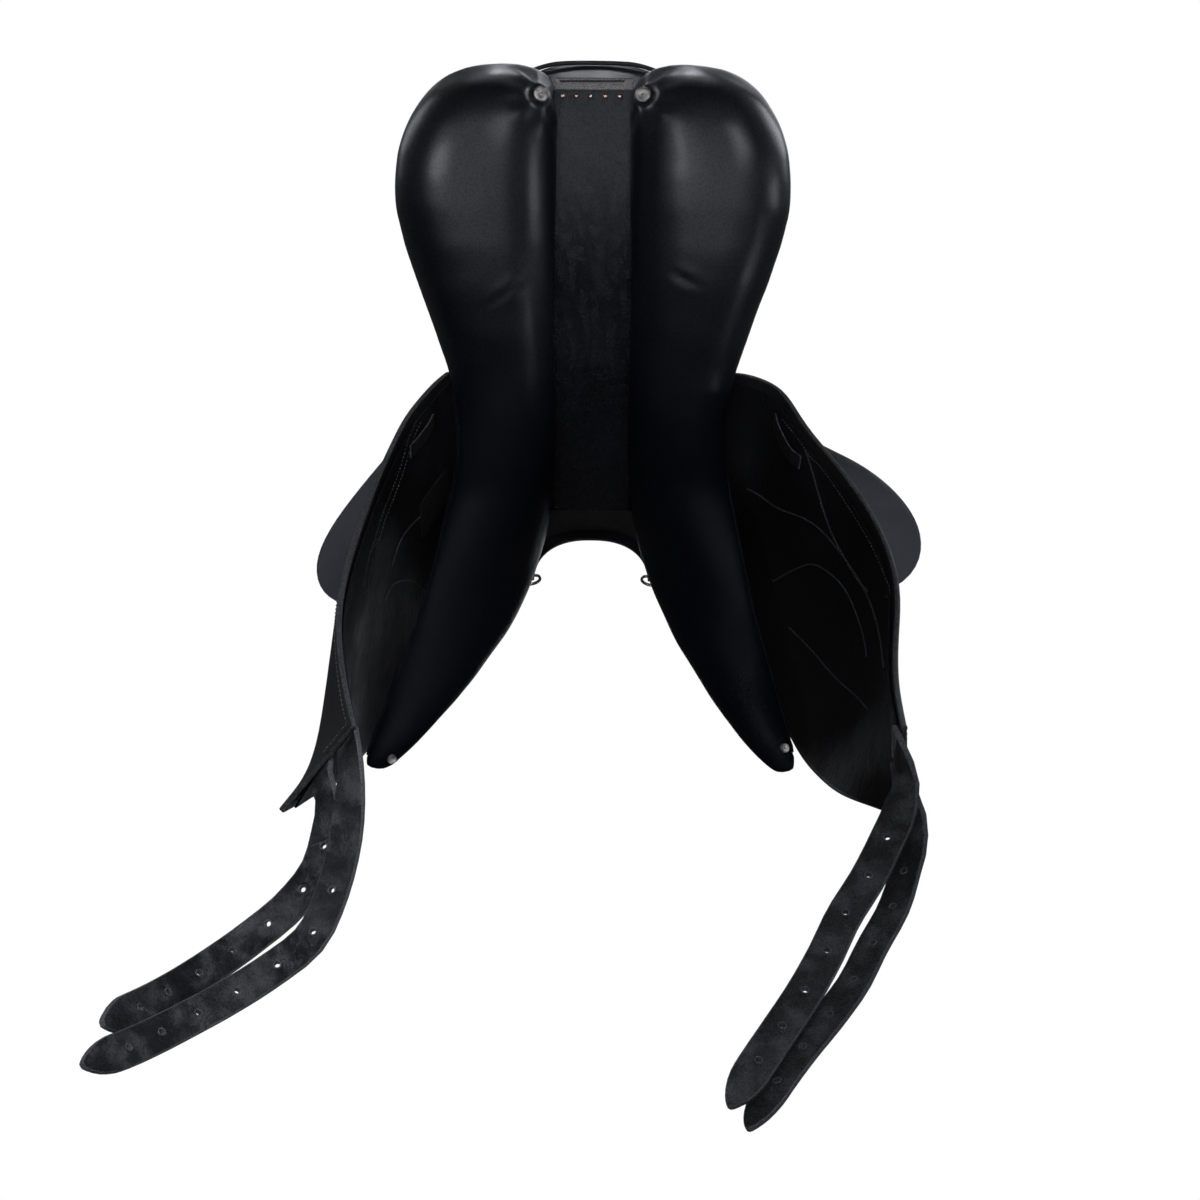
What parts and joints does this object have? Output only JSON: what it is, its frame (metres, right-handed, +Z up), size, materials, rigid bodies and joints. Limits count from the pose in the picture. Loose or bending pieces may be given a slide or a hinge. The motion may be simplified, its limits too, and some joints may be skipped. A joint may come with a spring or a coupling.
{
  "type": "monoflap saddle",
  "caption": "Monoflap riding saddle with wool-filled panels, gullet channel, head arch, flaps with knee pads, lifting skirts, long girth straps and stirrup bars with catches.",
  "frame": {"origin": "middle of the gullet strip's underside at its lowest point, where a rack carries the saddle", "axes": "+Z up, from the rack through the seat; +Y from cantle to pommel; +X to the saddle's right"},
  "size_m": [0.6122, 0.5213, 0.8135],
  "materials": {
    "panel_leather": "satin",
    "seat_leather": "satin",
    "skirt_leather": "matte",
    "flap_leather": "satin",
    "lining_leather": "matte",
    "arch_lining": "matte",
    "billet_leather": "matte",
    "copper_nail": "polished",
    "aged_nickel": "aged",
    "bar_steel": "satin",
    "tree_laminate": "matte",
    "flocking": "matte",
    "seat_foam": "matte",
    "seat_webbing": "matte",
    "bare_facing": "matte",
    "hook_patch": "matte"
  },
  "bodies": {
    "saddle": {"arch_lining": "arch_lining", "bar_rivet_left_1": "bar_steel", "bar_rivet_left_2": "bar_steel", "bar_rivet_right_1": "bar_steel", "bar_rivet_right_2": "bar_steel", "cantle_facing": "bare_facing", "cantle_welt": "seat_leather", "catch_pin_left": "bar_steel", "catch_pin_right": "bar_steel", "dee_staple_left": "seat_leather", "dee_staple_right": "seat_leather", "flap_left": "flap_leather", "flap_lining_left": "lining_leather", "flap_lining_right": "lining_leather", "flap_right": "flap_leather", "front_stud_left": "aged_nickel", "front_stud_right": "aged_nickel", "gullet_nail_1": "copper_nail", "gullet_nail_2": "copper_nail", "gullet_nail_3": "copper_nail", "gullet_nail_4": "copper_nail", "gullet_nail_5": "copper_nail", "gullet_strip": "panel_leather", "head_plate": "bar_steel", "hook_patch": "hook_patch", "knee_pad_left": "seat_leather", "knee_pad_right": "seat_leather", "panel_flocking_left": "flocking", "panel_flocking_right": "flocking", "panel_left": "panel_leather", "panel_right": "panel_leather", "pommel_cap": "seat_leather", "pommel_facing": "seat_leather", "pommel_nail_left": "aged_nickel", "pommel_nail_right": "aged_nickel", "rear_button_left": "aged_nickel", "rear_button_right": "aged_nickel", "seat_foam": "seat_foam", "seat_leather": "seat_leather", "seat_webbing": "seat_webbing", "stirrup_bar_left": "bar_steel", "stirrup_bar_right": "bar_steel", "strap_keeper_left": "flap_leather", "strap_keeper_right": "flap_leather", "tree": "tree_laminate"},
    "skirt_left": {"skirt_left": "skirt_leather"},
    "skirt_right": {"skirt_right": "skirt_leather"},
    "bar_catch_left": {"bar_catch_left": "bar_steel"},
    "bar_catch_right": {"bar_catch_right": "bar_steel"},
    "front_dee_left": {"front_dee_left": "aged_nickel"},
    "front_dee_right": {"front_dee_right": "aged_nickel"},
    "billet_front_left": {"billet_front_left": "billet_leather"},
    "billet_front_right": {"billet_front_right": "billet_leather"},
    "billet_rear_left": {"billet_rear_left": "billet_leather"},
    "billet_rear_right": {"billet_rear_right": "billet_leather"}
  },
  "joints": [
    {"name": "skirt_left_lift", "type": "hinge", "parent": "saddle", "child": "skirt_left", "pos_m": [-0.078, 0.109, 0.059], "axis": [0.1822, 0.9763, 0.1172], "range_deg": [-2, 60]},
    {"name": "skirt_right_lift", "type": "hinge", "parent": "saddle", "child": "skirt_right", "pos_m": [0.078, 0.109, 0.059], "axis": [0.1822, -0.9763, -0.1172], "range_deg": [-2, 60]},
    {"name": "bar_catch_left_swing", "type": "hinge", "parent": "saddle", "child": "bar_catch_left", "pos_m": [-0.089, 0.09175, 0.018], "axis": [0, 0, 1], "range_deg": [0, 80]},
    {"name": "bar_catch_right_swing", "type": "hinge", "parent": "saddle", "child": "bar_catch_right", "pos_m": [0.089, 0.09175, 0.018], "axis": [0, 0, -1], "range_deg": [0, 80]},
    {"name": "front_dee_left_swing", "type": "hinge", "parent": "saddle", "child": "front_dee_left", "pos_m": [-0.055, 0.2224, 0.027], "axis": [1, 0, 0], "range_deg": [0, 70]},
    {"name": "front_dee_right_swing", "type": "hinge", "parent": "saddle", "child": "front_dee_right", "pos_m": [0.055, 0.2224, 0.027], "axis": [1, 0, 0], "range_deg": [0, 70]},
    {"name": "billet_front_left_swing", "type": "hinge", "parent": "saddle", "child": "billet_front_left", "pos_m": [-0.19097, 0.10707, -0.38812], "axis": [-0.549, 0.8286, -0.1098], "range_deg": [-25, 0]},
    {"name": "billet_rear_left_swing", "type": "hinge", "parent": "saddle", "child": "billet_rear_left", "pos_m": [-0.17211, 0.0783, -0.38655], "axis": [-0.5697, 0.8196, 0.06], "range_deg": [-25, 0]},
    {"name": "billet_rear_right_swing", "type": "hinge", "parent": "saddle", "child": "billet_rear_right", "pos_m": [0.22019, 0.07815, -0.38657], "axis": [-0.0698, -0.9774, 0.1995], "range_deg": [-25, 0]},
    {"name": "billet_front_right_swing", "type": "hinge", "parent": "saddle", "child": "billet_front_right", "pos_m": [0.22205, 0.11045, -0.3883], "axis": [-0.1302, -0.9312, 0.3404], "range_deg": [-25, 0]}
  ],
  "couplings": [
    {"joint": "billet_front_left_swing", "follows": "billet_rear_left_swing", "ratio": 1}
  ]
}
